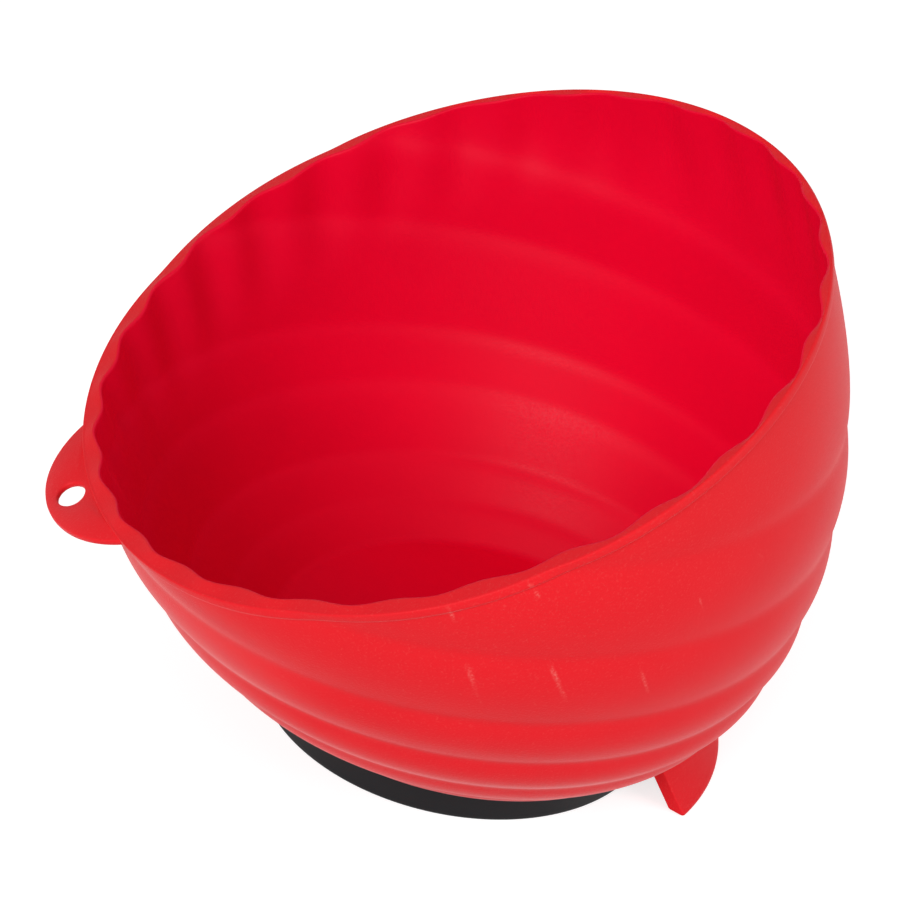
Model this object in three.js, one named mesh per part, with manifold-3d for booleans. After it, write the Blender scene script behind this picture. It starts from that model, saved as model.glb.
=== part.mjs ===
// Magnetic parts tray: a leaning, stepped plastic bowl with a slanted rim, a hang tab and a flared foot,
// on a round magnet base covered by a rubber boot. Millimetres, +Z up.
// The origin is the centre of the boot's bottom face. +X points to the tall side, the hang tab is at -X.
import * as THREE from 'three';
import { mergeVertices } from 'three/addons/utils/BufferGeometryUtils.js';
import Module from 'manifold-3d';

// Magnet base
const BASE_RADIUS = 43;
const BOOT_WALL = 2.5;
const BOOT_FLOOR = 1.2;
const BOOT_EDGE_ROUND = 0.9;
const MAGNET_THICKNESS = 4.8;
const MAGNET_BORE_RADIUS = 15;
const PLATE_THICKNESS = 1.5;
const BASE_CLEARANCE = 0.3;

// Centre fastening under the floor
const BOSS_RADIUS = 5.5;
const BOSS_SHORTFALL = 0.2;
const SCREW_SHANK_RADIUS = 1.9;
const SCREW_HEAD_RADIUS = 4;
const SCREW_HEAD_HEIGHT = 2.2;
const SCREW_TIP = 0.8;
const WASHER_RADIUS = 10;
const WASHER_THICKNESS = 1;
const HOLE_CLEARANCE = 0.3;

// Bowl shell
const WALL = 2;
const FLOOR_THICKNESS = 2.5;
const BOTTOM_EDGE_RADIUS = 43;
const LEAN_ANGLE = 13.2;
const LEAN_PIVOT_HEIGHT = 13.6;
const BAND_BULGE = 1.3;
const TOP_BAND_BULGE = 1.9;
const INNER_LEDGE = 1;
const LEDGE_SHARE = 0.22;

// Valleys between the bulging bands, bottom to top: radius about the leaning axis and height
const VALLEY_1_RADIUS = 52.5;
const VALLEY_1_HEIGHT = 14.6;
const VALLEY_2_RADIUS = 62;
const VALLEY_2_HEIGHT = 24.5;
const VALLEY_3_RADIUS = 68.6;
const VALLEY_3_HEIGHT = 37;
const VALLEY_4_RADIUS = 74.3;
const VALLEY_4_HEIGHT = 51.8;
const VALLEY_5_RADIUS = 79;
const VALLEY_5_HEIGHT = 71.7;
const VALLEY_6_RADIUS = 80;
const VALLEY_6_HEIGHT = 94;
const CROWN_RADIUS = 72.2;
const CROWN_HEIGHT = 136;

// Slanted rim
const RIM_SLANT = 28.7;
const RIM_HEIGHT = 101.1;
const LIP_PROUD = 0.6;
const LIP_THICKNESS = 2;

// Flutes inside the rim
const FLUTE_COUNT = 30;
const FLUTE_DEPTH = 1.2;
const FLUTE_LENGTH = 19;
const FLUTE_OVERLAP = 1.12;
const FLUTE_RELIEF = 8;

// Hang tab, a disc in the rim's plane
const TAB_RADIUS = 24.2;
const TAB_REACH = 10;
const TAB_THICKNESS = 1.4;
const HANG_HOLE_LENGTH = 7;
const HANG_HOLE_WIDTH = 5.8;
const HANG_HOLE_INSET = 5.2;

// Flared foot under the tall side
const FOOT_RADIUS = 58;
const FOOT_THICKNESS = 2.9;
const FOOT_FLARE = 42;
const FOOT_SPREAD = 100;
const FOOT_EDGE_ROUND = 0.7;

// Facets
const TURN_SEGMENTS = 60;
const BAND_SEGMENTS = 3;
const SMALL_SEGMENTS = 40;

const wasm = await Module();
wasm.setup();

const rad = THREE.MathUtils.degToRad;
const baseHeight = BOOT_FLOOR + MAGNET_THICKNESS + PLATE_THICKNESS;
const floorHeight = baseHeight + FLOOR_THICKNESS;
const lean = Math.tan(rad(LEAN_ANGLE));
const rimSlope = Math.tan(rad(RIM_SLANT));
const wide = 6 * CROWN_RADIUS;

// Turns a closed geometry into a solid with its faces pointing out
function solid(geometry) {
  const bare = geometry.clone();
  bare.deleteAttribute('normal');
  bare.deleteAttribute('uv');
  const merged = mergeVertices(bare, 1e-4);
  const pos = merged.getAttribute('position');
  const index = merged.getIndex().array;
  const tris = [];
  let volume = 0;
  const [a, b, c] = [new THREE.Vector3(), new THREE.Vector3(), new THREE.Vector3()];
  for (let i = 0; i < index.length; i += 3) {
    const [p, q, r] = [index[i], index[i + 1], index[i + 2]];
    if (p === q || q === r || r === p) continue;
    a.fromBufferAttribute(pos, p);
    b.fromBufferAttribute(pos, q);
    c.fromBufferAttribute(pos, r);
    volume += a.dot(b.cross(c));
    tris.push(p, q, r);
  }
  if (volume < 0) tris.reverse();
  const mesh = new wasm.Mesh({
    numProp: 3,
    vertProperties: new Float32Array(pos.array),
    triVerts: new Uint32Array(tris),
  });
  return new wasm.Manifold(mesh);
}

// Turns a solid back into a geometry for a mesh
function geometry(manifold) {
  const mesh = manifold.getMesh();
  const out = new THREE.BufferGeometry();
  out.setAttribute('position', new THREE.BufferAttribute(new Float32Array(mesh.vertProperties), 3));
  out.setIndex(new THREE.BufferAttribute(new Uint32Array(mesh.triVerts), 1));
  out.computeVertexNormals();
  return out;
}

// Revolves [radius, height] points about Z
function revolve(points, segments = TURN_SEGMENTS) {
  const shape = new THREE.LatheGeometry(points.map(([r, z]) => new THREE.Vector2(r, z)), segments);
  return shape.rotateX(Math.PI / 2);
}

// A quarter round from one direction to another, for a profile's corner
function corner(cx, cz, radius, from, to, steps = 3) {
  const points = [];
  for (let i = 0; i <= steps; i++) {
    const t = rad(from + ((to - from) * i) / steps);
    points.push([cx + radius * Math.cos(t), cz + radius * Math.sin(t)]);
  }
  return points;
}

// Arc from one valley to the next, bulging away from the axis
function bandArc(from, to, bulge) {
  const chord = [to[0] - from[0], to[1] - from[1]];
  const length = Math.hypot(...chord);
  const out = [chord[1] / length, -chord[0] / length];
  const points = [];
  for (let i = 1; i <= BAND_SEGMENTS; i++) {
    const t = i / BAND_SEGMENTS;
    const rise = 4 * bulge * t * (1 - t);
    points.push([from[0] + chord[0] * t + out[0] * rise, from[1] + chord[1] * t + out[1] * rise]);
  }
  return points;
}

// Profile nodes: bottom edge, valleys and crown, moved inwards along the wall's normal by an offset
function profileNodes(offset) {
  const nodes = [
    [BOTTOM_EDGE_RADIUS, baseHeight],
    [VALLEY_1_RADIUS, VALLEY_1_HEIGHT],
    [VALLEY_2_RADIUS, VALLEY_2_HEIGHT],
    [VALLEY_3_RADIUS, VALLEY_3_HEIGHT],
    [VALLEY_4_RADIUS, VALLEY_4_HEIGHT],
    [VALLEY_5_RADIUS, VALLEY_5_HEIGHT],
    [VALLEY_6_RADIUS, VALLEY_6_HEIGHT],
    [CROWN_RADIUS, CROWN_HEIGHT],
  ];
  return nodes.map((node, i) => {
    const before = nodes[Math.max(i - 1, 0)];
    const after = nodes[Math.min(i + 1, nodes.length - 1)];
    const run = [after[0] - before[0], after[1] - before[1]];
    const length = Math.hypot(...run);
    return [node[0] - (offset * run[1]) / length, node[1] + (offset * run[0]) / length];
  });
}

// The wall's curve at an offset from the outer face, bottom to top
function wallCurve(offset) {
  const nodes = profileNodes(offset);
  const points = [nodes[0]];
  for (let i = 1; i < nodes.length; i++) {
    const bulge = i === nodes.length - 1 ? TOP_BAND_BULGE : BAND_BULGE;
    points.push(...bandArc(nodes[i - 1], nodes[i], bulge));
  }
  return points;
}

// The inner wall's curve: each band swells inwards, with a rounded ledge just below the valley above it
function ledgeCurve(offset) {
  const nodes = profileNodes(offset);
  const points = [nodes[0]];
  for (let i = 1; i < nodes.length; i++) {
    const from = nodes[i - 1];
    const chord = [nodes[i][0] - from[0], nodes[i][1] - from[1]];
    const length = Math.hypot(...chord);
    for (const round of [1, 0.5, 0]) {
      const t = 1 - LEDGE_SHARE * round;
      const swell = (INNER_LEDGE * (1 - (1 - round) ** 2)) / length;
      points.push([from[0] + chord[0] * t - chord[1] * swell, from[1] + chord[1] * t + chord[0] * swell]);
    }
  }
  return points;
}

// Where a wall curve crosses a height
function radiusAt(curve, height) {
  for (let i = 1; i < curve.length; i++) {
    const [r0, z0] = curve[i - 1];
    const [r1, z1] = curve[i];
    if (height >= z0 && height <= z1) return r0 + ((r1 - r0) * (height - z0)) / (z1 - z0);
  }
  return curve[curve.length - 1][0];
}

// Leans a revolved form: each level shifts sideways towards the hang tab
function leaning(shape) {
  const shear = new THREE.Matrix4().set(
    1, 0, -lean, lean * LEAN_PIVOT_HEIGHT,
    0, 1, 0, 0,
    0, 0, 1, 0,
    0, 0, 0, 1,
  );
  return shape.applyMatrix4(shear);
}

// Places a form from the rim's own frame: X up the slope, Z along the rim's normal
function onRim(shape) {
  return shape.rotateY(-rad(RIM_SLANT)).translate(0, 0, RIM_HEIGHT);
}

// A point of the rim's edge on a wall curve at an angle round the leaning axis
function rimPoint(curve, angle) {
  let height = RIM_HEIGHT;
  let radius = 0;
  for (let i = 0; i < 60; i++) {
    radius = radiusAt(curve, height);
    const x = radius * Math.cos(angle) - lean * (height - LEAN_PIVOT_HEIGHT);
    height = 0.5 * (height + RIM_HEIGHT + x * rimSlope);
  }
  const x = radius * Math.cos(angle) - lean * (height - LEAN_PIVOT_HEIGHT);
  return new THREE.Vector3(x, radius * Math.sin(angle), height);
}

const outerCurve = wallCurve(0);
const innerCurve = ledgeCurve(WALL);
const lipCurve = wallCurve(-LIP_PROUD);
const innerWall = innerCurve.filter(([, z]) => z > floorHeight);
const floorRadius = radiusAt(innerCurve, floorHeight);
const topOf = (curve) => curve[curve.length - 1][1];

// The bowl's filled outer form, the hollow inside it and the lip's outer form
const outerForm = solid(leaning(revolve([[0, baseHeight], ...outerCurve, [0, topOf(outerCurve)]])));
const hollowTop = topOf(innerCurve) + WALL;
const hollowForm = solid(leaning(revolve([
  [0, floorHeight],
  [floorRadius, floorHeight],
  ...innerWall,
  [innerWall[innerWall.length - 1][0], hollowTop],
  [0, hollowTop],
])));
const lipForm = solid(leaning(revolve([
  [0, lipCurve[0][1]],
  ...lipCurve,
  [0, topOf(lipCurve)],
])));

// Everything above the rim's plane, and the lip's slab just under it
const aboveRim = solid(onRim(new THREE.BoxGeometry(wide, wide, wide).translate(0, 0, wide / 2)));
const lipSlab = solid(onRim(
  new THREE.BoxGeometry(wide, wide, LIP_THICKNESS).translate(0, 0, -LIP_THICKNESS / 2),
));

// Hang tab: a disc in the lip's plane, centred so that it stands out from the lip's lowest point
const lowPoint = rimPoint(lipCurve, Math.PI);
const lowAlong = lowPoint.x / Math.cos(rad(RIM_SLANT));
const tabAlong = lowAlong - TAB_REACH + TAB_RADIUS;
const tabDisc = new THREE.CylinderGeometry(TAB_RADIUS, TAB_RADIUS, TAB_THICKNESS, SMALL_SEGMENTS * 2);
const tabForm = solid(onRim(
  tabDisc.rotateX(Math.PI / 2).translate(tabAlong, 0, -TAB_THICKNESS / 2),
));
const holeAlong = lowAlong - TAB_REACH + HANG_HOLE_INSET;
const slot = new THREE.Shape();
slot.absellipse(0, 0, HANG_HOLE_WIDTH / 2, HANG_HOLE_LENGTH / 2, 0, 2 * Math.PI, false, 0);
const slotBar = new THREE.ExtrudeGeometry(slot, {
  depth: 4 * TAB_THICKNESS,
  bevelEnabled: false,
  curveSegments: 12,
});
const hangHole = solid(onRim(slotBar.translate(holeAlong, 0, -2 * TAB_THICKNESS)));

// Flared foot: a cone wall from the ground into the bowl's lowest band, kept to a sector at the tall side
const flare = Math.tan(rad(FOOT_FLARE));
const footTop = VALLEY_1_HEIGHT;
const footSide = FOOT_THICKNESS / Math.cos(rad(FOOT_FLARE));
const footOuter = (z) => FOOT_RADIUS - flare * z;
const footForm = solid(revolve([
  [footOuter(0) - footSide + FOOT_EDGE_ROUND, 0],
  [footOuter(0) - FOOT_EDGE_ROUND, 0],
  [footOuter(FOOT_EDGE_ROUND), FOOT_EDGE_ROUND],
  [footOuter(footTop), footTop],
  [footOuter(footTop) - footSide, footTop],
  [footOuter(FOOT_EDGE_ROUND) - footSide, FOOT_EDGE_ROUND],
  [footOuter(0) - footSide + FOOT_EDGE_ROUND, 0],
]));
const halfSpread = rad(FOOT_SPREAD / 2);
const sector = new THREE.Shape();
sector.moveTo(0, 0);
sector.lineTo(wide * Math.cos(halfSpread), -wide * Math.sin(halfSpread));
sector.absarc(0, 0, wide, -halfSpread, halfSpread, false);
const sectorBar = new THREE.ExtrudeGeometry(sector, {
  depth: footTop,
  bevelEnabled: false,
  curveSegments: 12,
});
const foot = footForm.intersect(solid(sectorBar)).subtract(solid(
  new THREE.CylinderGeometry(
    BASE_RADIUS + BASE_CLEARANCE, BASE_RADIUS + BASE_CLEARANCE, 2 * baseHeight, TURN_SEGMENTS,
  ).rotateX(Math.PI / 2),
));

// Boss under the floor that takes the screw, inside the plate's hole
const bossLength = PLATE_THICKNESS - BOSS_SHORTFALL;
const boss = solid(
  new THREE.CylinderGeometry(BOSS_RADIUS, BOSS_RADIUS, bossLength + FLOOR_THICKNESS / 2, SMALL_SEGMENTS)
    .rotateX(Math.PI / 2)
    .translate(0, 0, baseHeight - bossLength + (bossLength + FLOOR_THICKNESS / 2) / 2),
);
const pilotTop = floorHeight - FLOOR_THICKNESS / 4;
const pilotRadius = SCREW_SHANK_RADIUS + HOLE_CLEARANCE;
const pilot = solid(
  new THREE.CylinderGeometry(pilotRadius, pilotRadius, pilotTop, SMALL_SEGMENTS)
    .rotateX(Math.PI / 2)
    .translate(0, 0, pilotTop / 2),
);

// A flute's scoop, one unit in width, length and depth: shallow into the wall, long into the hollow
const scoopForm = new THREE.SphereGeometry(1, 10, 6);
const scoopPoints = scoopForm.getAttribute('position');
for (let i = 0; i < scoopPoints.count; i++) {
  const depth = scoopPoints.getZ(i);
  if (depth < 0) scoopPoints.setZ(i, (depth * FLUTE_RELIEF) / FLUTE_DEPTH);
}

// Flutes: scoops side by side round the inside of the rim, each fading down the wall
const scoops = [];
for (let i = 0; i < FLUTE_COUNT; i++) {
  const angle = (2 * Math.PI * i) / FLUTE_COUNT;
  const at = rimPoint(innerCurve, angle);
  const next = rimPoint(innerCurve, angle + Math.PI / FLUTE_COUNT).sub(at);
  const before = rimPoint(innerCurve, angle - Math.PI / FLUTE_COUNT).sub(at);
  const step = FLUTE_LENGTH / 2;
  const slope = (radiusAt(innerCurve, at.z) - radiusAt(innerCurve, at.z - step)) / step;
  const along = new THREE.Vector3(slope * Math.cos(angle) - lean, slope * Math.sin(angle), 1).normalize();
  const across = new THREE.Vector3(-Math.sin(angle), Math.cos(angle), 0);
  across.addScaledVector(along, -across.dot(along)).normalize();
  const outward = new THREE.Vector3().crossVectors(across, along);
  const halfWidth = Math.max(next.dot(across), -before.dot(across)) * FLUTE_OVERLAP;
  const place = new THREE.Matrix4().makeBasis(
    across.multiplyScalar(halfWidth),
    along.multiplyScalar(FLUTE_LENGTH),
    outward.multiplyScalar(FLUTE_DEPTH),
  ).setPosition(at);
  scoops.push(solid(scoopForm.clone().applyMatrix4(place)));
}
const flutes = scoops.reduce((sum, scoop) => sum.add(scoop));

const shell = outerForm
  .add(lipForm.intersect(lipSlab))
  .add(tabForm)
  .add(foot)
  .add(boss)
  .subtract(aboveRim)
  .subtract(hollowForm)
  .subtract(flutes)
  .subtract(hangHole)
  .subtract(pilot);

const tray = new THREE.Group();

function piece(name, shape, colour, roughness, metalness) {
  const mesh = new THREE.Mesh(shape, new THREE.MeshStandardMaterial({ color: colour, roughness, metalness }));
  mesh.name = name;
  tray.add(mesh);
  return mesh;
}

piece('bowl', geometry(shell), 0xe01f2d, 0.45, 0);

// Rubber boot: a shallow cup round the magnet, open towards the bowl
const bootInner = BASE_RADIUS - BOOT_WALL;
const bootGeometry = revolve([
  [0, 0],
  ...corner(BASE_RADIUS - BOOT_EDGE_ROUND, BOOT_EDGE_ROUND, BOOT_EDGE_ROUND, -90, 0),
  [BASE_RADIUS, baseHeight],
  [bootInner, baseHeight],
  [bootInner, BOOT_FLOOR],
  [0, BOOT_FLOOR],
]);
piece('rubber_boot', geometry(solid(bootGeometry)), 0x28282a, 0.6, 0);

// A flat ring between two heights
function ring(inner, outer, bottom, top, segments) {
  return geometry(solid(revolve(
    [[inner, bottom], [outer, bottom], [outer, top], [inner, top], [inner, bottom]],
    segments,
  )));
}
const ironRadius = bootInner - BASE_CLEARANCE;
const magnetTop = BOOT_FLOOR + MAGNET_THICKNESS;
piece('ring_magnet', ring(MAGNET_BORE_RADIUS, ironRadius, BOOT_FLOOR, magnetTop, SMALL_SEGMENTS), 0x3a3a3c, 0.7, 0.2);
piece(
  'backing_plate',
  ring(BOSS_RADIUS + HOLE_CLEARANCE, ironRadius, magnetTop, baseHeight, SMALL_SEGMENTS),
  0xb4b6ba, 0.4, 1,
);

// Washer and screw hold the plate to the bowl's boss, inside the magnet's bore
const washerBottom = magnetTop - WASHER_THICKNESS;
piece('washer', ring(pilotRadius, WASHER_RADIUS, washerBottom, magnetTop, SMALL_SEGMENTS), 0xc2c4c8, 0.35, 1);
const screwEnd = pilotTop - HOLE_CLEARANCE;
const screwGeometry = revolve([
  [0, washerBottom - SCREW_HEAD_HEIGHT],
  [SCREW_HEAD_RADIUS * 0.8, washerBottom - SCREW_HEAD_HEIGHT],
  [SCREW_HEAD_RADIUS, washerBottom - SCREW_HEAD_HEIGHT * 0.55],
  [SCREW_HEAD_RADIUS, washerBottom],
  [SCREW_SHANK_RADIUS, washerBottom],
  [SCREW_SHANK_RADIUS, screwEnd - SCREW_TIP],
  [SCREW_SHANK_RADIUS * 0.5, screwEnd],
  [0, screwEnd],
], SMALL_SEGMENTS);
piece('centre_screw', geometry(solid(screwGeometry)), 0xc2c4c8, 0.3, 1);

export default tray;
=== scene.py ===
"""Magnetic parts tray: the moulded bowl, its hang tab, flared foot and rubber-covered magnet base."""

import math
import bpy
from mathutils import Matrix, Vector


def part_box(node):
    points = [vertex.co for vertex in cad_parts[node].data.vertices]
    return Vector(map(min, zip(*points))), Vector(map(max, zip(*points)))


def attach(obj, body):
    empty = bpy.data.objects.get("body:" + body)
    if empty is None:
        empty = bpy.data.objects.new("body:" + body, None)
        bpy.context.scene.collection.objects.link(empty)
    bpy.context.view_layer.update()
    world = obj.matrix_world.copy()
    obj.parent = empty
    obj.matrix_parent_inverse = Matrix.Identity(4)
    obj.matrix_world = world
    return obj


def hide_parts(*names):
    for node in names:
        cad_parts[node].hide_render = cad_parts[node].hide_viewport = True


bl_info = {
    "name": "Magnetic parts tray",
    "version": (1, 0, 0),
    "blender": (4, 5, 0),
    "location": "3D View > Sidebar > Parts tray",
    "description": "Builds the looks of a leaning plastic parts bowl on its magnet base",
    "category": "Object",
}

import bpy
import numpy as np
from mathutils import Matrix, Vector

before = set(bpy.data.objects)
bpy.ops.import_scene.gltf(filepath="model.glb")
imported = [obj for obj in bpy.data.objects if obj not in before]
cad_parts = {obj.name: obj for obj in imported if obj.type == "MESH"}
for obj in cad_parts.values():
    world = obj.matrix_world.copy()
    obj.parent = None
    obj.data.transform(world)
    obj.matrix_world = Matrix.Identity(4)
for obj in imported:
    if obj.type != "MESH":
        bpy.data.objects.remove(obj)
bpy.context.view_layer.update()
MM = 0.001

# Valleys between the bowl's bulging bands, bottom to top, in millimetres:
# radius and height of the groove outside, and height of the ridge inside
VALLEYS = ((51.7, 14.0, 14.6), (61.2, 23.6, 22.5), (67.6, 35.0, 37.0),
           (73.2, 48.8, 49.3), (78.0, 67.6, 73.7), (79.8, 89.0, 92.3))
CROWN = (72.2, 136.0)

# Columns round the bowl, ten to each flute, and rows up each face of its wall
COLUMNS = 300
WALL_ROWS = 110

# Points along each band before the curve is evened out, and the spacing after that
BAND_POINTS = 40
CURVE_STEP = 0.2 * MM

# Share of an inner band's run at which its ledge stands in furthest
LEDGE_PEAK = 0.78

# Halvings in the search for the rim's plane along a wall
RIM_HALVINGS = 50

# Share of the way in over the rim at which the inner face's material starts
INNER_FACE = 0.97

# Points round the tab, columns along the foot and round the boot
TAB_POINTS = 160
FOOT_COLUMNS = 60
BOOT_COLUMNS = 180

# Heights at which the foot's outer and inner face end inside the bowl's lowest band
FOOT_TOP_OUT = 11.2 * MM
FOOT_TOP_IN = 9.4 * MM

# Camera, as fitted to the photograph: place in millimetres, view direction and direction to the right
CAMERA_PLACE = (-198.88, -464.41, 361.99)
CAMERA_FORWARD = (0.319, 0.796, -0.514)
CAMERA_RIGHT = (0.948, -0.268, 0.173)

# Soft boxes: place and width in metres, all aimed at one point
LIGHT_AIM = (0, 0, 0.06)
KEY_PLACE, KEY_WIDTH = (-0.85, -0.8, 0.6), 0.7
FILL_PLACE, FILL_WIDTH = (0.9, -0.7, 0.5), 0.6

OUTSIDE_NAME = "Polypropylene, spark-eroded outside"

# Handling scuffs on the bowl's outer face: middle, direction, length and width in millimetres
SCUFFS = (
    ((-28.9, -74.9, 60.1), (-0.46, -0.19, 0.87), 14, 0.8),
    ((-14.0, -77.5, 62.0), (-0.5, -0.17, 0.85), 13, 0.8),
    ((3.8, -76.0, 60.4), (-0.45, -0.26, 0.85), 9, 0.6),
    ((-37.2, -77.2, 77.7), (-0.48, -0.2, 0.86), 6, 0.6),
    ((-24.2, -80.6, 84.9), (-0.62, -0.13, 0.77), 6, 0.7),
    ((-3.4, -78.7, 74.3), (-0.66, -0.22, 0.72), 5, 0.4),
    ((11.0, -75.8, 77.8), (-0.44, -0.26, 0.86), 5, 0.4),
    ((23.3, -70.1, 84.5), (-0.7, -0.33, 0.63), 4, 0.4),
)


class BowlSizes(bpy.types.PropertyGroup):
    """Sizes and colours of the moulded bowl."""

    bottom_radius: bpy.props.FloatProperty(
        name="Bottom radius", description="Radius of the bowl's flat bottom", default=0.043, unit="LENGTH")
    base_height: bpy.props.FloatProperty(
        name="Base height", description="Height of the magnet base under the bowl",
        default=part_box("rubber_boot")[1].z, unit="LENGTH")
    wall: bpy.props.FloatProperty(
        name="Wall", description="Thickness of the moulded wall", default=0.002, unit="LENGTH")
    floor: bpy.props.FloatProperty(
        name="Floor", description="Thickness of the bowl's floor", default=0.0025, unit="LENGTH")
    lean: bpy.props.FloatProperty(
        name="Lean", description="Lean of the stacked bands towards the hang tab",
        default=math.radians(13.2), subtype="ANGLE")
    lean_pivot: bpy.props.FloatProperty(
        name="Lean pivot", description="Height at which the bands are centred on the base",
        default=0.0136, unit="LENGTH")
    bulge: bpy.props.FloatProperty(
        name="Band bulge", description="How far each band swells between its valleys",
        default=0.0015, unit="LENGTH")
    top_bulge: bpy.props.FloatProperty(
        name="Top band bulge", description="How far the top band swells", default=0.0024, unit="LENGTH")
    ledge: bpy.props.FloatProperty(
        name="Inner ledge", description="How far each band swells inwards below its upper valley",
        default=0.00035, unit="LENGTH")
    valley_round: bpy.props.FloatProperty(
        name="Valley round", description="Softness of the valleys between the bands",
        default=0.0007, unit="LENGTH")
    rim_slant: bpy.props.FloatProperty(
        name="Rim slant", description="Slope of the rim's plane", default=math.radians(28.7), subtype="ANGLE")
    rim_height: bpy.props.FloatProperty(
        name="Rim height", description="Height of the rim's plane over the base's axis",
        default=0.1011, unit="LENGTH")
    lip_proud: bpy.props.FloatProperty(
        name="Lip proud", description="How far the lip stands out from the wall",
        default=0.0006, unit="LENGTH")
    lip_depth: bpy.props.FloatProperty(
        name="Lip depth", description="Depth of the lip below the rim", default=0.002, unit="LENGTH")
    flute_count: bpy.props.IntProperty(
        name="Flutes", description="Number of flutes round the inside of the rim", default=30, min=3)
    flute_depth: bpy.props.FloatProperty(
        name="Flute depth", description="Depth of a flute at the rim", default=0.0013, unit="LENGTH")
    flute_length: bpy.props.FloatProperty(
        name="Flute length", description="How far a flute runs down the wall", default=0.027, unit="LENGTH")
    flute_hold: bpy.props.FloatProperty(
        name="Flute hold", description="Share of a flute's length before it starts to fade", default=0.3)
    inside_colour: bpy.props.StringProperty(
        name="Inside colour", description="sRGB hex colour of the satin inner face", default="EC0030")
    outside_colour: bpy.props.StringProperty(
        name="Outside colour", description="sRGB hex colour of the textured outer face", default="E61E27")


class TabSizes(bpy.types.PropertyGroup):
    """Sizes of the hang tab in the rim's plane."""

    radius: bpy.props.FloatProperty(
        name="Radius", description="Radius of the tab's outer edge", default=0.0242, unit="LENGTH")
    reach: bpy.props.FloatProperty(
        name="Reach", description="How far the tab stands out from the lip", default=0.0091, unit="LENGTH")
    thickness: bpy.props.FloatProperty(
        name="Thickness", description="Thickness of the tab", default=0.0014, unit="LENGTH")
    drop: bpy.props.FloatProperty(
        name="Drop", description="How far the tab's top lies below the rim", default=0.0002, unit="LENGTH")
    hole_length: bpy.props.FloatProperty(
        name="Hole length", description="Hang hole along the rim", default=0.007, unit="LENGTH")
    hole_width: bpy.props.FloatProperty(
        name="Hole width", description="Hang hole across the rim", default=0.0058, unit="LENGTH")
    hole_inset: bpy.props.FloatProperty(
        name="Hole inset", description="Hole's centre from the tab's outer edge",
        default=0.0052, unit="LENGTH")
    edge_round: bpy.props.FloatProperty(
        name="Edge round", description="Round of the tab's edges", default=0.0004, unit="LENGTH")


class FootSizes(bpy.types.PropertyGroup):
    """Sizes of the flared foot under the tall side."""

    radius: bpy.props.FloatProperty(
        name="Radius", description="Radius of the foot's outer edge on the ground",
        default=0.058, unit="LENGTH")
    thickness: bpy.props.FloatProperty(
        name="Thickness", description="Thickness of the foot's wall", default=0.0029, unit="LENGTH")
    flare: bpy.props.FloatProperty(
        name="Flare", description="Slope of the foot from upright", default=math.radians(42), subtype="ANGLE")
    spread: bpy.props.FloatProperty(
        name="Spread", description="Angle that the foot takes up round the base",
        default=math.radians(100), subtype="ANGLE")
    edge_round: bpy.props.FloatProperty(
        name="Edge round", description="Round of the foot's edges", default=0.0007, unit="LENGTH")


class BootSizes(bpy.types.PropertyGroup):
    """Sizes of the rubber boot round the magnet."""

    radius: bpy.props.FloatProperty(
        name="Radius", description="Outer radius of the boot",
        default=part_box("rubber_boot")[1].x, unit="LENGTH")
    wall: bpy.props.FloatProperty(
        name="Wall", description="Thickness of the boot's side", default=0.0025, unit="LENGTH")
    floor: bpy.props.FloatProperty(
        name="Floor", description="Thickness of the boot's bottom", default=0.0012, unit="LENGTH")
    edge_round: bpy.props.FloatProperty(
        name="Edge round", description="Round of the bottom edge", default=0.0009, unit="LENGTH")
    colour: bpy.props.StringProperty(
        name="Colour", description="sRGB hex colour of the rubber", default="131315")


class StageSettings(bpy.types.PropertyGroup):
    """Camera, floor and light."""

    lens: bpy.props.FloatProperty(
        name="Lens", description="Focal length on a 36 mm sensor, in millimetres", default=115.1)
    floor_colour: bpy.props.StringProperty(
        name="Floor colour", description="sRGB hex colour of the floor", default="D0D0D0")
    ambient: bpy.props.FloatProperty(
        name="Ambient", description="Strength of the even light from all round", default=0.39)
    key: bpy.props.FloatProperty(
        name="Key light", description="Power of the large soft box in watts", default=11.6)
    fill: bpy.props.FloatProperty(
        name="Fill light", description="Power of the soft box at the right in watts", default=5.5)


def linear(hex_colour):
    """sRGB hex text as a linear colour with alpha."""
    parts = [int(hex_colour[i:i + 2], 16) / 255 for i in (0, 2, 4)]
    return [p / 12.92 if p <= 0.04045 else ((p + 0.055) / 1.055) ** 2.4 for p in parts] + [1.0]


def add_node(tree, kind, settings=None, inputs=None):
    """Adds a node with its own settings, and its inputs by name or place: values, or sockets to link."""
    node = tree.nodes.new(kind)
    for name, value in (settings or {}).items():
        setattr(node, name, value)
    for key, value in (inputs or {}).items():
        if isinstance(value, bpy.types.NodeSocket):
            tree.links.new(value, node.inputs[key])
        else:
            node.inputs[key].default_value = value
    return node


def new_material(name):
    """An empty node material, its tree, and the Object coordinates that every pattern reads."""
    material = bpy.data.materials.new(name)
    material.use_nodes = True
    tree = material.node_tree
    tree.nodes.clear()
    place = add_node(tree, "ShaderNodeTexCoord").outputs["Object"]
    return material, tree, place


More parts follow.
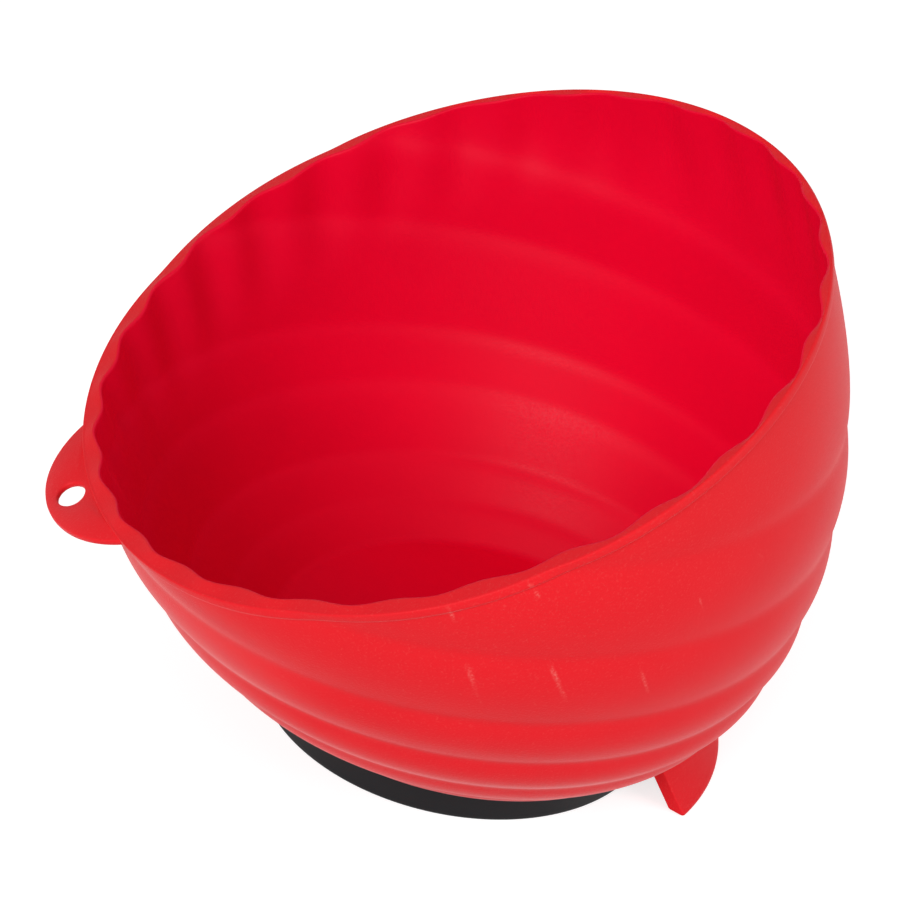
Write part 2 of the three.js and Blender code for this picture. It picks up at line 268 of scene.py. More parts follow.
def scuff_marks(tree, place):
    """Mask of the scuffs: each is a thin streak that fades at its ends."""
    total = None
    for middle, direction, length, width in SCUFFS:
        away = add_node(tree, "ShaderNodeVectorMath", {"operation": "SUBTRACT"}, {
            0: place, 1: [c * MM for c in middle]}).outputs[0]
        unit = Vector(direction).normalized()
        along = add_node(tree, "ShaderNodeVectorMath", {"operation": "DOT_PRODUCT"}, {
            0: away, 1: unit}).outputs["Value"]
        back = add_node(tree, "ShaderNodeVectorMath", {"operation": "SCALE"}, {
            0: unit, "Scale": along}).outputs[0]
        aside = add_node(tree, "ShaderNodeVectorMath", {"operation": "DISTANCE"}, {
            0: away, 1: back}).outputs["Value"]
        reach = add_node(tree, "ShaderNodeMath", {"operation": "ABSOLUTE"}, {0: along}).outputs[0]
        ends = add_node(tree, "ShaderNodeMapRange", {"interpolation_type": "SMOOTHSTEP"}, {
            "Value": reach, "From Min": length * 0.2 * MM, "From Max": length * 0.5 * MM,
            "To Min": 1.0, "To Max": 0.0}).outputs[0]
        sides = add_node(tree, "ShaderNodeMapRange", {"interpolation_type": "SMOOTHSTEP"}, {
            "Value": aside, "From Min": 0.0, "From Max": width * MM,
            "To Min": 1.0, "To Max": 0.0}).outputs[0]
        mark = add_node(tree, "ShaderNodeMath", {"operation": "MULTIPLY"}, {0: ends, 1: sides}).outputs[0]
        if total is not None:
            mark = add_node(tree, "ShaderNodeMath", {"operation": "MAXIMUM"}, {0: total, 1: mark}).outputs[0]
        total = mark
    return total


def satin_polypropylene(colour):
    """Polypropylene, injection moulded against a smoothed core: a deep even red with a soft satin gloss,
    faint flow waves and a very fine grain that catches the light on the ridges."""
    material, tree, place = new_material("Polypropylene, satin inside")
    # Flow waves are about 20 mm apart, grain about 0.5 mm so that it still shows
    waves = add_node(tree, "ShaderNodeTexNoise", inputs={
        "Vector": place, "Scale": 1 / (20 * MM), "Detail": 2.0}).outputs["Fac"]
    grain = add_node(tree, "ShaderNodeTexNoise", inputs={
        "Vector": place, "Scale": 1 / (0.5 * MM), "Detail": 2.0}).outputs["Fac"]
    deep = [c * 0.9 for c in colour[:3]] + [1.0]
    tone = add_node(tree, "ShaderNodeMix", {"data_type": "RGBA"}, {0: waves, 6: deep, 7: colour}).outputs[2]
    rough = add_node(tree, "ShaderNodeMapRange", inputs={
        "Value": grain, "From Min": 0.3, "From Max": 0.7, "To Min": 0.4, "To Max": 0.56}).outputs[0]
    bump = add_node(tree, "ShaderNodeBump", inputs={
        "Strength": 0.35, "Distance": 0.06 * MM, "Height": grain}).outputs[0]
    shader = add_node(tree, "ShaderNodeBsdfPrincipled", inputs={
        "Base Color": tone, "Roughness": rough, "IOR": 1.49, "Specular IOR Level": 0.14, "Normal": bump})
    add_node(tree, "ShaderNodeOutputMaterial", inputs={"Surface": shader.outputs[0]})
    return material


def textured_polypropylene(colour):
    """Polypropylene, injection moulded against a spark-eroded cavity: a matt, finely grained red
    with a pale sheen at grazing angles and a few handling scuffs."""
    material, tree, place = new_material(OUTSIDE_NAME)
    # Spark grain is drawn at 0.45 mm so that it still shows, clouding at 25 mm
    grain = add_node(tree, "ShaderNodeTexNoise", inputs={
        "Vector": place, "Scale": 1 / (0.45 * MM), "Detail": 3.0, "Roughness": 0.6}).outputs["Fac"]
    cloud = add_node(tree, "ShaderNodeTexNoise", inputs={
        "Vector": place, "Scale": 1 / (25 * MM), "Detail": 3.0}).outputs["Fac"]
    deep = [c * 0.93 for c in colour[:3]] + [1.0]
    tone = add_node(tree, "ShaderNodeMix", {"data_type": "RGBA"}, {0: cloud, 6: deep, 7: colour}).outputs[2]
    pale = linear("F08078")
    speck = add_node(tree, "ShaderNodeMapRange", inputs={
        "Value": grain, "From Min": 0.55, "From Max": 0.8, "To Min": 0.0, "To Max": 0.16}).outputs[0]
    tone = add_node(tree, "ShaderNodeMix", {"data_type": "RGBA"}, {0: speck, 6: tone, 7: pale}).outputs[2]
    # Scuffs are broken up by the grain, since its peaks are rubbed first
    rubbed = add_node(tree, "ShaderNodeMapRange", inputs={
        "Value": grain, "From Min": 0.42, "From Max": 0.68, "To Min": 0.06, "To Max": 0.38}).outputs[0]
    marks = add_node(tree, "ShaderNodeMath", {"operation": "MULTIPLY"}, {
        0: scuff_marks(tree, place), 1: rubbed}).outputs[0]
    tone = add_node(tree, "ShaderNodeMix", {"data_type": "RGBA"}, {
        0: marks, 6: tone, 7: linear("F4988E")}).outputs[2]
    rough = add_node(tree, "ShaderNodeMapRange", inputs={
        "Value": grain, "From Min": 0.3, "From Max": 0.7, "To Min": 0.44, "To Max": 0.58}).outputs[0]
    bump = add_node(tree, "ShaderNodeBump", inputs={
        "Strength": 0.8, "Distance": 0.1 * MM, "Height": grain}).outputs[0]
    # Gloss grows under the rim of the low side, where hands have worn the grain
    axes = add_node(tree, "ShaderNodeSeparateXYZ", inputs={0: place}).outputs
    low_side = add_node(tree, "ShaderNodeMapRange", {"interpolation_type": "SMOOTHSTEP"}, {
        "Value": axes["X"], "From Min": -80 * MM, "From Max": -48 * MM,
        "To Min": 0.3, "To Max": 0.0}).outputs[0]
    worn = add_node(tree, "ShaderNodeMapRange", {"interpolation_type": "SMOOTHSTEP"}, {
        "Value": axes["Z"], "From Min": 46 * MM, "From Max": 54 * MM,
        "To Min": low_side, "To Max": 0.0}).outputs[0]
    gloss = add_node(tree, "ShaderNodeMath", {"operation": "ADD"}, {0: worn, 1: 0.1}).outputs[0]
    shader = add_node(tree, "ShaderNodeBsdfPrincipled", inputs={
        "Base Color": tone, "Roughness": rough, "IOR": 1.49, "Normal": bump,
        "Specular IOR Level": gloss, "Sheen Weight": 0.2, "Sheen Roughness": 0.25})
    add_node(tree, "ShaderNodeOutputMaterial", inputs={"Surface": shader.outputs[0]})
    return material


def nitrile_rubber(colour):
    """Nitrile rubber, pressed in a plain mould: near black, satin, with a little bloom and fine grain."""
    material, tree, place = new_material("Nitrile rubber, moulded")
    # Bloom clouds are about 12 mm across, grain about 0.4 mm
    bloom = add_node(tree, "ShaderNodeTexNoise", inputs={
        "Vector": place, "Scale": 1 / (12 * MM), "Detail": 3.0}).outputs["Fac"]
    grain = add_node(tree, "ShaderNodeTexNoise", inputs={
        "Vector": place, "Scale": 1 / (0.4 * MM), "Detail": 2.0}).outputs["Fac"]
    dusty = [c * 1.5 + 0.002 for c in colour[:3]] + [1.0]
    tone = add_node(tree, "ShaderNodeMix", {"data_type": "RGBA"}, {0: bloom, 6: colour, 7: dusty}).outputs[2]
    rough = add_node(tree, "ShaderNodeMapRange", inputs={
        "Value": bloom, "From Min": 0.3, "From Max": 0.7, "To Min": 0.42, "To Max": 0.55}).outputs[0]
    bump = add_node(tree, "ShaderNodeBump", inputs={
        "Strength": 0.3, "Distance": 0.05 * MM, "Height": grain}).outputs[0]
    shader = add_node(tree, "ShaderNodeBsdfPrincipled", inputs={
        "Base Color": tone, "Roughness": rough, "IOR": 1.52, "Specular IOR Level": 0.14, "Normal": bump})
    add_node(tree, "ShaderNodeOutputMaterial", inputs={"Surface": shader.outputs[0]})
    return material


def sintered_ferrite():
    """Ferrite, pressed and sintered, then ground: dull charcoal with fine pores."""
    material, tree, place = new_material("Ferrite, sintered")
    # Pores are about 0.6 mm apart
    pores = add_node(tree, "ShaderNodeTexVoronoi", inputs={
        "Vector": place, "Scale": 1 / (0.6 * MM)}).outputs["Distance"]
    tone = add_node(tree, "ShaderNodeMix", {"data_type": "RGBA"}, {
        0: pores, 6: linear("2C2C2F"), 7: linear("48484B")}).outputs[2]
    bump = add_node(tree, "ShaderNodeBump", inputs={
        "Strength": 0.3, "Distance": 0.05 * MM, "Height": pores}).outputs[0]
    shader = add_node(tree, "ShaderNodeBsdfPrincipled", inputs={
        "Base Color": tone, "Roughness": 0.62, "Metallic": 0.2, "Normal": bump})
    add_node(tree, "ShaderNodeOutputMaterial", inputs={"Surface": shader.outputs[0]})
    return material


def zinc_plated_steel():
    """Mild steel, stamped or turned and zinc plated: bright grey with a faint crystalline mottle."""
    material, tree, place = new_material("Steel, zinc plated")
    # Zinc mottle is about 1.5 mm across
    mottle = add_node(tree, "ShaderNodeTexVoronoi", inputs={
        "Vector": place, "Scale": 1 / (1.5 * MM)}).outputs["Color"]
    tone = add_node(tree, "ShaderNodeMix", {"data_type": "RGBA"}, {
        0: mottle, 6: linear("A9ACB0"), 7: linear("C6C9CC")}).outputs[2]
    rough = add_node(tree, "ShaderNodeMapRange", inputs={
        "Value": mottle, "To Min": 0.28, "To Max": 0.42}).outputs[0]
    shader = add_node(tree, "ShaderNodeBsdfPrincipled", inputs={
        "Base Color": tone, "Roughness": rough, "Metallic": 1.0})
    add_node(tree, "ShaderNodeOutputMaterial", inputs={"Surface": shader.outputs[0]})
    return material


def seen_directly(tree):
    """One for camera, mirror and see-through rays, which see the stage as white, and zero for others."""
    ray = add_node(tree, "ShaderNodeLightPath").outputs
    mirror = add_node(tree, "ShaderNodeMath", {"operation": "MAXIMUM"}, {
        0: ray["Is Glossy Ray"], 1: ray["Is Transmission Ray"]}).outputs[0]
    return add_node(tree, "ShaderNodeMath", {"operation": "MAXIMUM"}, {
        0: ray["Is Camera Ray"], 1: mirror}).outputs[0]


def studio_floor(colour):
    """Pale paper floor: seen near white with the tray's soft shadow, and plain paper to other rays."""
    material, tree, _ = new_material("Studio paper")
    paper = add_node(tree, "ShaderNodeBsdfDiffuse", inputs={"Color": colour}).outputs[0]
    lit = add_node(tree, "ShaderNodeEmission", inputs={"Color": (1, 1, 1, 1), "Strength": 0.7}).outputs[0]
    seen = add_node(tree, "ShaderNodeAddShader", inputs={0: paper, 1: lit}).outputs[0]
    direct = seen_directly(tree)
    out = add_node(tree, "ShaderNodeMixShader", inputs={0: direct, 1: paper, 2: seen}).outputs[0]
    add_node(tree, "ShaderNodeOutputMaterial", inputs={"Surface": out})
    return material


def new_piece(name, points, faces, materials):
    """A smooth mesh object at the origin, its place in its mesh."""
    mesh = bpy.data.meshes.new(name)
    mesh.from_pydata([tuple(p) for p in points], [], [tuple(int(i) for i in f) for f in faces])
    mesh.polygons.foreach_set("use_smooth", np.ones(len(mesh.polygons), bool))
    for material in materials:
        mesh.materials.append(material)
    mesh.validate()
    piece = bpy.data.objects.new(name, mesh)
    bpy.context.scene.collection.objects.link(piece)
    return piece


def loop_faces(rows, columns, closed_rows=False):
    """Quads between stacked closed rings of points, ring by ring."""
    here = np.arange(columns)
    after = (here + 1) % columns
    faces = []
    for low in range(rows if closed_rows else rows - 1):
        high = (low + 1) % rows
        faces.append(np.stack([
            low * columns + here, low * columns + after, high * columns + after, high * columns + here], 1))
    return np.concatenate(faces)


def capped_faces(rows, columns):
    """Quads between stacked rings, closed by one face on the first ring and one on the last."""
    faces = [list(f) for f in loop_faces(rows, columns)]
    faces.append(list(range(columns))[::-1])
    faces.append(list(range((rows - 1) * columns, rows * columns)))
    return faces


def length_along(points):
    """Length along a line of points, from its start to each of them."""
    return np.concatenate([[0], np.cumsum(np.linalg.norm(np.diff(points, axis=0), axis=1))])


def band_curve(sizes, inner=False):
    """The outer or inner wall's curve, bottom to top, as radii and heights in metres.

    Outside, the bands bulge between grooves. Inside, each swells inwards to a ledge below the ridge
    above it, and the top band follows the outside.
    """
    nodes = np.array([(sizes.bottom_radius, sizes.base_height)]
                     + [(r * MM, z * MM) for r, z, _ in VALLEYS] + [(CROWN[0] * MM, CROWN[1] * MM)])
    if inner:
        ridges = np.array([z * MM for _, _, z in VALLEYS])
        nodes[1:-1] = np.stack([np.interp(ridges, nodes[:, 1], nodes[:, 0]), ridges], 1)
        run = np.empty_like(nodes)
        run[0], run[-1] = nodes[1] - nodes[0], nodes[-1] - nodes[-2]
        run[1:-1] = nodes[2:] - nodes[:-2]
        run /= np.linalg.norm(run, axis=1)[:, None]
        nodes = nodes + sizes.wall * np.stack([-run[:, 1], run[:, 0]], 1)
    points = [nodes[:1]]
    for i in range(1, len(nodes)):
        chord = nodes[i] - nodes[i - 1]
        out = np.array([chord[1], -chord[0]]) / np.linalg.norm(chord)
        t = np.linspace(0, 1, BAND_POINTS + 1)[1:, None]
        top = i == len(nodes) - 1
        swell = 4 * sizes.top_bulge * t ** 0.75 * (1 - t ** 0.75) if top else 4 * sizes.bulge * t * (1 - t)
        if inner and not top:
            past = (t - LEDGE_PEAK) / (1 - LEDGE_PEAK)
            swell = -sizes.ledge * np.where(t < LEDGE_PEAK, t / LEDGE_PEAK, 1 - past ** 2)
        points.append(nodes[i - 1] + chord * t + out * swell)
    points = np.concatenate(points)
    # Evened spacing, then a soft average over the valleys' round
    length = length_along(points)
    even = np.arange(0, length[-1], CURVE_STEP)
    curve = np.stack([np.interp(even, length, points[:, k]) for k in (0, 1)], 1)
    reach = int(3 * sizes.valley_round / CURVE_STEP)
    weight = np.exp(-0.5 * (np.arange(-reach, reach + 1) * CURVE_STEP / sizes.valley_round) ** 2)
    weight /= weight.sum()
    for k in (0, 1):
        start = 2 * curve[0, k] - curve[reach:0:-1, k]
        end = 2 * curve[-1, k] - curve[-2:-reach - 2:-1, k]
        curve[:, k] = np.convolve(np.concatenate([start, curve[:, k], end]), weight, "valid")
    return curve


def rim_crossing(sizes, curve, angles, below):
    """Heights at which a wall curve meets the rim's plane, or a plane that lies below it, at each angle."""
    slope = math.tan(sizes.rim_slant)
    low = np.full(len(angles), curve[0, 1])
    high = np.full(len(angles), curve[-1, 1])
    for _ in range(RIM_HALVINGS):
        middle = (low + high) / 2
        radius = np.interp(middle, curve[:, 1], curve[:, 0])
        x = radius * np.cos(angles) - math.tan(sizes.lean) * (middle - sizes.lean_pivot)
        over = middle > sizes.rim_height + slope * x - below / math.cos(sizes.rim_slant)
        high = np.where(over, middle, high)
        low = np.where(over, low, middle)
    return (low + high) / 2


def leaning(sizes, radius, height, angles):
    """Points of one ring, shifted towards the hang tab by its height."""
    x = radius * np.cos(angles) - math.tan(sizes.lean) * (height - sizes.lean_pivot)
    return np.stack([x, radius * np.sin(angles), height * np.ones(len(angles))], 1)


def below_rim(sizes, points):
    """Distance of points below the rim's plane."""
    slope = math.tan(sizes.rim_slant)
    return (sizes.rim_height + slope * points[:, 0] - points[:, 2]) * math.cos(sizes.rim_slant)


def wall_rings(sizes, curve, angles, start, below, count):
    """Rings up a wall from a start along its curve to a plane below the rim, evenly spaced."""
    length = length_along(curve)
    top = np.interp(rim_crossing(sizes, curve, angles, below), curve[:, 1], length)
    rings = []
    for share in np.linspace(0, 1, count):
        at = start + (top - start) * share
        radius, height = (np.interp(at, length, curve[:, k]) for k in (0, 1))
        rings.append(leaning(sizes, radius, height, angles))
    return rings


def rim_ring(sizes, curve, angles, below, outwards):
    """One ring near the rim, moved outwards from its wall curve."""
    height = rim_crossing(sizes, curve, angles, below)
    radius = np.interp(height, curve[:, 1], curve[:, 0])
    ring = leaning(sizes, radius, height, angles)
    ring[:, 0] += outwards * np.cos(angles)
    ring[:, 1] += outwards * np.sin(angles)
    return ring


def flute_tree():
    """Node tree that presses flutes into the inside of the rim: a smooth wave that fades down the wall."""
    tree = bpy.data.node_groups.new("Rim flutes", "GeometryNodeTree")
    tree.interface.new_socket("Shell", in_out="INPUT", socket_type="NodeSocketGeometry")
    for name, kind in (("Count", "Int"), ("Depth", "Float"), ("Length", "Float"), ("Hold", "Float"),
                       ("Outside", "Material"), ("Inside", "Material")):
        tree.interface.new_socket(name, in_out="INPUT", socket_type="NodeSocket" + kind)
    tree.interface.new_socket("Shell", in_out="OUTPUT", socket_type="NodeSocketGeometry")
    given = add_node(tree, "NodeGroupInput").outputs
    turn, below, inside = (
        add_node(tree, "GeometryNodeInputNamedAttribute", {"data_type": "FLOAT"}, {
            "Name": name}).outputs["Attribute"]
        for name in ("turn", "below_rim", "inside"))
    outward = add_node(tree, "GeometryNodeInputNamedAttribute", {"data_type": "FLOAT_VECTOR"}, {
        "Name": "outward"}).outputs["Attribute"]
    # A smooth wave round the rim, its troughs at whole flutes
    turns = add_node(tree, "ShaderNodeMath", {"operation": "MULTIPLY"}, {
        0: turn, 1: given["Count"]}).outputs[0]
    phase = add_node(tree, "ShaderNodeMath", {"operation": "MULTIPLY"}, {
        0: turns, 1: 2 * math.pi}).outputs[0]
    wave = add_node(tree, "ShaderNodeMath", {"operation": "COSINE"}, {0: phase}).outputs[0]
    wave = add_node(tree, "ShaderNodeMath", {"operation": "MULTIPLY_ADD"}, {
        0: wave, 1: 0.5, 2: 0.5}).outputs[0]
    down = add_node(tree, "ShaderNodeMath", {"operation": "DIVIDE"}, {
        0: below, 1: given["Length"]}).outputs[0]
    fade = add_node(tree, "ShaderNodeMapRange", {"interpolation_type": "SMOOTHSTEP"}, {
        "Value": down, "From Min": given["Hold"], "From Max": 1.0, "To Min": 1.0, "To Max": 0.0}).outputs[0]
    scoop = add_node(tree, "ShaderNodeMath", {"operation": "MULTIPLY"}, {0: wave, 1: fade}).outputs[0]
    depth = add_node(tree, "ShaderNodeMath", {"operation": "MULTIPLY"}, {
        0: scoop, 1: given["Depth"]}).outputs[0]
    depth = add_node(tree, "ShaderNodeMath", {"operation": "MULTIPLY"}, {0: depth, 1: inside}).outputs[0]
    offset = add_node(tree, "ShaderNodeVectorMath", {"operation": "SCALE"}, {
        0: outward, "Scale": depth}).outputs[0]
    shell = add_node(tree, "GeometryNodeSetPosition", inputs={
        "Geometry": given["Shell"], "Offset": offset}).outputs[0]
    shell = add_node(tree, "GeometryNodeRealizeInstances", inputs={"Geometry": shell}).outputs[0]
    shell = add_node(tree, "GeometryNodeSetMaterial", inputs={
        "Geometry": shell, "Material": given["Outside"]}).outputs[0]
    inner = add_node(tree, "FunctionNodeCompare", {"data_type": "FLOAT", "operation": "GREATER_THAN"}, {
        0: inside, 1: INNER_FACE}).outputs[0]
    shell = add_node(tree, "GeometryNodeSetMaterial", inputs={
        "Geometry": shell, "Selection": inner, "Material": given["Inside"]}).outputs[0]
    add_node(tree, "NodeGroupOutput", inputs={"Shell": shell})
    return tree


def bake_tree(piece, tree, values):
    """Runs a node tree on a piece with its inputs set by identifier, and keeps the result as a plain mesh."""
    modifier = piece.modifiers.new(tree.name, "NODES")
    modifier.node_group = tree
    for item in tree.interface.items_tree:
        if item.item_type == "SOCKET" and item.in_out == "INPUT" and item.name in values:
            modifier[item.identifier] = values[item.name]
    bpy.context.view_layer.update()
    made = bpy.data.meshes.new_from_object(piece.evaluated_get(bpy.context.evaluated_depsgraph_get()))
    plain = piece.data
    piece.modifiers.clear()
    piece.data = made
    made.name = piece.name
    bpy.data.meshes.remove(plain)
    if not made.polygons:
        raise RuntimeError(f"{piece.name} came out empty")


class TRAY_OT_bowl_shell(bpy.types.Operator):
    """Make the moulded bowl with its bands, lip, flutes and floor"""

    bl_idname = "parts_tray.bowl_shell"
    bl_label = "Bowl shell"

    def execute(self, context):
        sizes = context.scene.tray_bowl
        angles = np.arange(COLUMNS) * 2 * math.pi / COLUMNS
        outer = band_curve(sizes)
        inner = band_curve(sizes, inner=True)
        floor_height = sizes.base_height + sizes.floor
        floor_start = np.interp(floor_height, inner[:, 1], length_along(inner))
        floor_radius = np.interp(floor_height, inner[:, 1], inner[:, 0])
        rings = []
        inside = []
        # Underside from the middle out
        for share in (0.02, 0.5, 0.97, 0.995):
            rings.append(leaning(sizes, share * sizes.bottom_radius, sizes.base_height, angles))
            inside.append(0)
        # Outer wall up to the lip
        for ring in wall_rings(sizes, outer, angles, 0.0, sizes.lip_depth + 0.7 * MM, WALL_ROWS):
            rings.append(ring)
            inside.append(0)
        # Lip: a soft step out, its face, and the rounded edge at the top
        for below, proud in ((1.22, 0.0), (1.1, 0.2), (1.0, 0.7), (0.9, 0.95), (0.75, 1.0), (0.5, 1.0),
                             (0.25, 1.0), (0.11, 0.92), (0.03, 0.62), (0.0, 0.2)):
            rings.append(rim_ring(sizes, outer, angles, below * sizes.lip_depth, proud * sizes.lip_proud))
            inside.append(0)
        # Flat top of the rim in steps, so that its middle stays flat
        outer_edge = rings[-1]
        inner_edge = rim_ring(sizes, inner, angles, 0.0, 0.45 * MM)
        for share in (0.12, 0.5, 0.88):
            rings.append(outer_edge + (inner_edge - outer_edge) * share)
            inside.append(share)
        # Inner edge of the rim, rounded, then the inner wall down to the floor
        for below, back in ((0.0, 0.45), (0.07, 0.14), (0.25, 0.02)):
            rings.append(rim_ring(sizes, inner, angles, below * MM, back * MM))
            inside.append(1)
        for ring in reversed(wall_rings(sizes, inner, angles, floor_start + 0.6 * MM, 0.6 * MM, WALL_ROWS)):
            rings.append(ring)
            inside.append(1)
        # Floor with a small fillet at its edge
        for share, rise in ((0.995, 0.22), (0.985, 0.06), (0.97, 0.0), (0.8, 0.0), (0.5, 0.0), (0.02, 0.0)):
            rings.append(leaning(sizes, share * floor_radius, floor_height + rise * MM, angles))
            inside.append(1)
        points = np.concatenate(rings)
        piece = new_piece("bowl_shell", points, capped_faces(len(rings), COLUMNS), ())
        mesh = piece.data
        around = np.tile(angles, len(rings))
        for name, values in (("turn", around / (2 * math.pi)), ("below_rim", below_rim(sizes, points)),
                             ("inside", np.repeat(inside, COLUMNS))):
            mesh.attributes.new(name, "FLOAT", "POINT").data.foreach_set("value", values.astype(np.float32))
        outward = np.stack([np.cos(around), np.sin(around), np.zeros(len(around))], 1)
        mesh.attributes.new("outward", "FLOAT_VECTOR", "POINT").data.foreach_set(
            "vector", outward.astype(np.float32).ravel())
        bake_tree(piece, flute_tree(), {
            "Count": sizes.flute_count, "Depth": sizes.flute_depth, "Length": sizes.flute_length,
            "Hold": sizes.flute_hold,
            "Outside": textured_polypropylene(linear(sizes.outside_colour)),
            "Inside": satin_polypropylene(linear(sizes.inside_colour))})
        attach(piece, "root")
        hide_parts("bowl")
        return {"FINISHED"}


class TRAY_OT_hang_tab(bpy.types.Operator):
    """Make the hang tab with its oval hole, in the rim's plane"""

    bl_idname = "parts_tray.hang_tab"
    bl_label = "Hang tab"

    def execute(self, context):
        sizes = context.scene.tray_bowl
        tab = context.scene.tray_tab
        slant = sizes.rim_slant
        # The rim in its own plane: along the slope, and across it
        outer = band_curve(sizes)
        angles = np.linspace(math.pi - 0.3, math.pi + 0.3, 401)
        rim = rim_ring(sizes, outer, angles, 0.0, -0.45 * sizes.wall)
        rim = np.stack([rim[:, 0] / math.cos(slant), rim[:, 1]], 1)
        lowest = rim_ring(sizes, outer, np.array([math.pi]), 0.0, sizes.lip_proud)[0, 0] / math.cos(slant)
        edge = lowest - tab.reach
        hole = np.array([edge + tab.hole_inset, 0.0])
        # The tab's outline seen from the hole: the disc's edge, or the rim where that is nearer
        turn = np.arange(TAB_POINTS) * 2 * math.pi / TAB_POINTS
        way = np.stack([np.cos(turn), np.sin(turn)], 1)
        to_disc = np.array([edge + tab.radius, 0.0]) - hole
        ahead = way @ to_disc
        reach = ahead + np.sqrt(ahead ** 2 - to_disc @ to_disc + tab.radius ** 2)
        seen = np.arctan2(rim[:, 1] - hole[1], rim[:, 0] - hole[0])
        order = np.argsort(seen)
        far = np.linalg.norm(rim - hole, axis=1)
        signed = (turn + math.pi) % (2 * math.pi) - math.pi
        reach = np.minimum(reach, np.interp(signed, seen[order], far[order], left=9.0, right=9.0))
        oval = 1 / np.sqrt((2 * way[:, 0] / tab.hole_width) ** 2 + (2 * way[:, 1] / tab.hole_length) ** 2)
        # Rings from the hole's edge over the top, down the outer edge and back underneath
        r, t = tab.edge_round, tab.thickness
        rings = []
        for inner, inset, depth in (
                (1, 0.3, 0.08), (1, 1.0, 0.0), (0, 1.0, 0.0), (0, 0.3, 0.08), (0, 0.0, 0.3), (0, 0.0, 0.7),
                (0, 0.3, 0.92), (0, 1.0, 1.0), (1, 1.0, 1.0), (1, 0.3, 0.92), (1, 0.0, 0.7), (1, 0.0, 0.3)):
            radius = oval + inset * r if inner else reach - inset * r
            flat = hole + way * radius[:, None]
            up = -tab.drop - depth * t
            x = flat[:, 0] * math.cos(slant) - up * math.sin(slant)
            z = flat[:, 0] * math.sin(slant) + up * math.cos(slant) + sizes.rim_height
            rings.append(np.stack([x, flat[:, 1], z], 1))
        faces = loop_faces(len(rings), len(turn), closed_rows=True)[:, ::-1]
        piece = new_piece("hang_tab", np.concatenate(rings), faces, [
            bpy.data.materials[OUTSIDE_NAME]])
        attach(piece, "root")
        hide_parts("bowl")
        return {"FINISHED"}


class TRAY_OT_flared_foot(bpy.types.Operator):
    """Make the flared foot that stands under the tall side"""

    bl_idname = "parts_tray.flared_foot"
    bl_label = "Flared foot"

    def execute(self, context):
        foot = context.scene.tray_foot
        flare = math.tan(foot.flare)
        side = foot.thickness / math.cos(foot.flare)
        r = foot.edge_round
        # Section: outer face up into the bowl's lowest band, inner face back down, rounded at the ground
        section = [
            (foot.radius - 1.6 * r, 0.0), (foot.radius - 0.9 * r, 0.1 * r),
            (foot.radius - 0.62 * r, 0.35 * r), (foot.radius - flare * r, r)]
        section += [(foot.radius - flare * z, z) for z in np.linspace(2 * r, FOOT_TOP_OUT, 8)]
        section += [(foot.radius - side - flare * z, z) for z in np.linspace(FOOT_TOP_IN, 2 * r, 8)]
        section += [(foot.radius - side - flare * r, r), (foot.radius - side - 0.3 * r, 0.3 * r),
                    (foot.radius - side + 0.35 * r, 0.0)]
        section = np.array(section)
        middle = section.mean(0)
        # The ends are drawn in a little so that their edges are rounded
        half = foot.spread / 2
        turns = np.concatenate([
            [-half, -half + 0.002, -half + 0.009], np.linspace(-half + 0.03, half - 0.03, FOOT_COLUMNS),
            [half - 0.009, half - 0.002, half]])
        shrink = np.ones(len(turns))
        shrink[[0, -1]] = 0.9
        shrink[[1, -2]] = 0.97
        rings = []
        for turn, share in zip(turns, shrink):
            drawn = middle + (section - middle) * share
            out, up = drawn.T
            rings.append(np.stack([out * math.cos(turn), out * math.sin(turn), up], 1))
        faces = [f[::-1] for f in capped_faces(len(rings), len(section))]
        piece = new_piece("flared_foot", np.concatenate(rings), faces, [
            bpy.data.materials[OUTSIDE_NAME]])
        for face in piece.data.polygons:
            face.use_smooth = len(face.vertices) == 4
        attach(piece, "root")
        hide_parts("bowl")
        return {"FINISHED"}


class TRAY_OT_magnet_base(bpy.types.Operator):
    """Make the rubber boot, and give the magnet, plate, washer and screw inside it their finishes"""

    bl_idname = "parts_tray.magnet_base"
    bl_label = "Magnet base"

    def execute(self, context):
        boot = context.scene.tray_boot
        top = context.scene.tray_bowl.base_height
        r = boot.edge_round
        profile = [(0.02 * boot.radius, 0.0), (0.5 * boot.radius, 0.0), (boot.radius - 1.4 * r, 0.0)]
        profile += [(boot.radius - r + r * math.sin(a), r - r * math.cos(a))
                    for a in np.linspace(0, math.pi / 2, 8)]
        profile += [(boot.radius, 1.4 * r), (boot.radius, top - 0.6 * MM)]
        lip = 0.45 * MM
        profile += [(boot.radius - lip + lip * math.cos(a), top - lip + lip * math.sin(a))
                    for a in np.linspace(0, math.pi / 2, 5)]
        inner = boot.radius - boot.wall
        profile += [(inner + 0.2 * MM, top), (inner, top - 0.2 * MM), (inner, boot.floor + 0.2 * MM),
                    (inner - 0.2 * MM, boot.floor), (0.02 * boot.radius, boot.floor)]
        turns = np.arange(BOOT_COLUMNS) * 2 * math.pi / BOOT_COLUMNS
        level = np.ones(BOOT_COLUMNS)
        rings = [np.stack([a * np.cos(turns), a * np.sin(turns), z * level], 1) for a, z in profile]
        faces = capped_faces(len(rings), BOOT_COLUMNS)
        piece = new_piece("rubber_boot_fine", np.concatenate(rings), faces, [
            nitrile_rubber(linear(boot.colour))])
        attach(piece, "root")
        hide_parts("rubber_boot")
        ferrite, zinc = sintered_ferrite(), zinc_plated_steel()
        for name, finish in (("ring_magnet", ferrite), ("backing_plate", zinc), ("washer", zinc),
                             ("centre_screw", zinc)):
            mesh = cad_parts[name].data
            mesh.materials.clear()
            mesh.materials.append(finish)
        return {"FINISHED"}


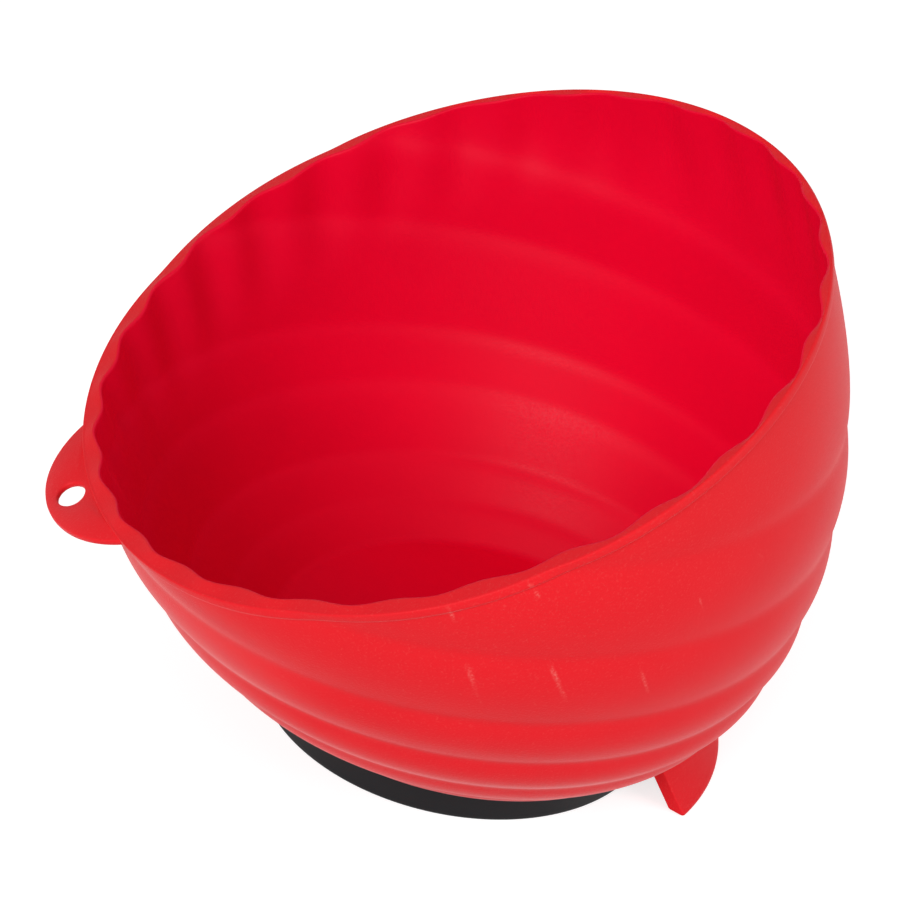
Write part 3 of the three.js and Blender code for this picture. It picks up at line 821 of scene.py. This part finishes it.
class TRAY_OT_stage(bpy.types.Operator):
    """Make the camera, the pale floor and the soft studio light"""

    bl_idname = "parts_tray.stage"
    bl_label = "Stage"

    def execute(self, context):
        scene = context.scene
        settings = scene.tray_stage
        lens = bpy.data.cameras.new("Camera")
        lens.lens, lens.sensor_width, lens.sensor_fit = settings.lens, 36.0, "HORIZONTAL"
        lens.clip_start, lens.clip_end = 0.01, 100.0
        camera = bpy.data.objects.new("Camera", lens)
        forward = Vector(CAMERA_FORWARD).normalized()
        right = Vector(CAMERA_RIGHT)
        right = (right - forward * right.dot(forward)).normalized()
        up = right.cross(forward)
        place = [c * MM for c in CAMERA_PLACE]
        camera.matrix_world = Matrix((
            (right.x, up.x, -forward.x, place[0]),
            (right.y, up.y, -forward.y, place[1]),
            (right.z, up.z, -forward.z, place[2]),
            (0, 0, 0, 1)))
        scene.collection.objects.link(camera)
        scene.camera = camera
        floor = new_piece("floor", [(-6, -6, 0), (6, -6, 0), (6, 6, 0), (-6, 6, 0)], [(0, 1, 2, 3)], [
            studio_floor(linear(settings.floor_colour))])
        for name, place, width, power in (
                ("Key soft box", KEY_PLACE, KEY_WIDTH, settings.key),
                ("Fill soft box", FILL_PLACE, FILL_WIDTH, settings.fill)):
            light = bpy.data.lights.new(name, "AREA")
            light.shape, light.size, light.energy = "SQUARE", width, power
            lamp = bpy.data.objects.new(name, light)
            lamp.location = place
            lamp.rotation_euler = (Vector(LIGHT_AIM) - Vector(place)).to_track_quat("-Z", "Y").to_euler()
            scene.collection.objects.link(lamp)
        world = bpy.data.worlds.new("Studio")
        world.use_nodes = True
        tree = world.node_tree
        tree.nodes.clear()
        direct = seen_directly(tree)
        strength = add_node(tree, "ShaderNodeMapRange", inputs={
            "Value": direct, "To Min": settings.ambient, "To Max": 1.0}).outputs[0]
        back = add_node(tree, "ShaderNodeBackground", inputs={"Color": (1, 1, 1, 1), "Strength": strength})
        add_node(tree, "ShaderNodeOutputWorld", inputs={"Surface": back.outputs[0]})
        scene.world = world
        scene.view_settings.view_transform = "Standard"
        return {"FINISHED"}


class TRAY_PT_panel(bpy.types.Panel):
    """The tray's pieces in the 3D view's sidebar"""

    bl_idname = "TRAY_PT_panel"
    bl_label = "Parts tray"
    bl_space_type = "VIEW_3D"
    bl_region_type = "UI"
    bl_category = "Parts tray"

    def draw(self, context):
        for operator in OPERATORS:
            self.layout.operator(operator.bl_idname)


GROUPS = {
    "tray_bowl": BowlSizes,
    "tray_tab": TabSizes,
    "tray_foot": FootSizes,
    "tray_boot": BootSizes,
    "tray_stage": StageSettings,
}
OPERATORS = (TRAY_OT_bowl_shell, TRAY_OT_hang_tab, TRAY_OT_flared_foot, TRAY_OT_magnet_base, TRAY_OT_stage)
CLASSES = (*GROUPS.values(), *OPERATORS, TRAY_PT_panel)


def register():
    for cls in CLASSES:
        bpy.utils.register_class(cls)
    for name, group in GROUPS.items():
        setattr(bpy.types.Scene, name, bpy.props.PointerProperty(type=group))


def unregister():
    for name in GROUPS:
        delattr(bpy.types.Scene, name)
    for cls in reversed(CLASSES):
        bpy.utils.unregister_class(cls)


def main():
    register()
    bpy.ops.parts_tray.bowl_shell()
    bpy.ops.parts_tray.hang_tab()
    bpy.ops.parts_tray.flared_foot()
    bpy.ops.parts_tray.magnet_base()
    bpy.ops.parts_tray.stage()


if __name__ == "__main__":
    main()
